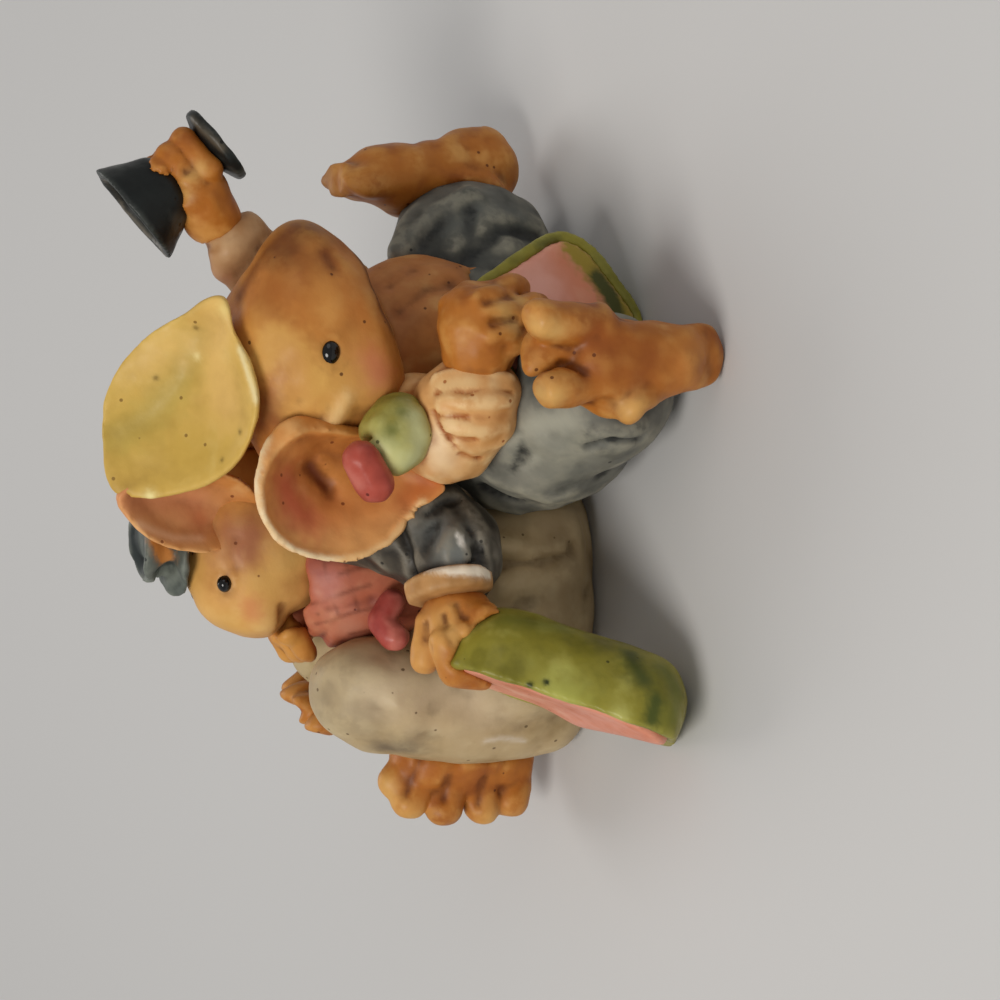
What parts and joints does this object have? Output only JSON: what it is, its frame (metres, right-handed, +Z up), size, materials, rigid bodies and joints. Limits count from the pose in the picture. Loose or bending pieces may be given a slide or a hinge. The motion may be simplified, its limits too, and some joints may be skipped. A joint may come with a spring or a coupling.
{
  "type": "mouse figurine",
  "caption": "Hand painted cast figurine of seated mice in clothes, back to back, with melon slices, a flat cap, a small hat and a raised goblet.",
  "frame": {"origin": "centre of the bounding box, on the table that the figurine rests on", "axes": "+Z up from the table, the pictured side toward -Y, the raised goblet toward +X"},
  "size_m": [0.0754, 0.0652, 0.053],
  "materials": {
    "slate_cloth": "satin",
    "tan_cloth": "satin",
    "pleated_cloth": "satin",
    "pale_cloth": "satin",
    "paw": "satin",
    "front_fur": "satin",
    "rear_fur": "satin",
    "ear": "satin",
    "eye": "gloss",
    "cap": "satin",
    "kerchief": "satin",
    "bow": "gloss",
    "goblet": "satin",
    "rind": "gloss",
    "flesh": "gloss",
    "beige_cloth": "satin",
    "plaid_cloth": "satin",
    "jacket": "satin",
    "tie": "satin",
    "cuff": "satin",
    "hat": "satin"
  },
  "bodies": {
    "root": {"front_trousers": "slate_cloth", "front_shirt": "tan_cloth", "front_near_sleeve": "pleated_cloth", "front_near_hand": "paw", "front_far_sleeve": "pale_cloth", "front_far_hand": "paw", "front_head": "front_fur", "front_near_ear": "ear", "front_far_ear": "ear", "front_near_eye": "eye", "front_far_eye": "eye", "cap": "cap", "neckerchief": "kerchief", "bow": "bow", "goblet": "goblet", "front_near_foot": "paw", "front_far_foot": "paw", "front_melon_rind": "rind", "front_melon_flesh": "flesh", "rear_trousers": "beige_cloth", "rear_shirt": "plaid_cloth", "rear_jacket": "jacket", "rear_tie": "tie", "rear_near_sleeve": "jacket", "rear_near_cuff": "cuff", "rear_near_hand": "paw", "rear_far_sleeve": "jacket", "rear_far_hand": "paw", "rear_head": "rear_fur", "rear_near_ear": "ear", "rear_far_ear": "ear", "rear_near_eye": "eye", "rear_far_eye": "eye", "hat": "hat", "rear_near_foot": "paw", "rear_far_foot": "paw", "rear_melon_rind": "rind", "rear_melon_flesh": "flesh"}
  },
  "joints": []
}
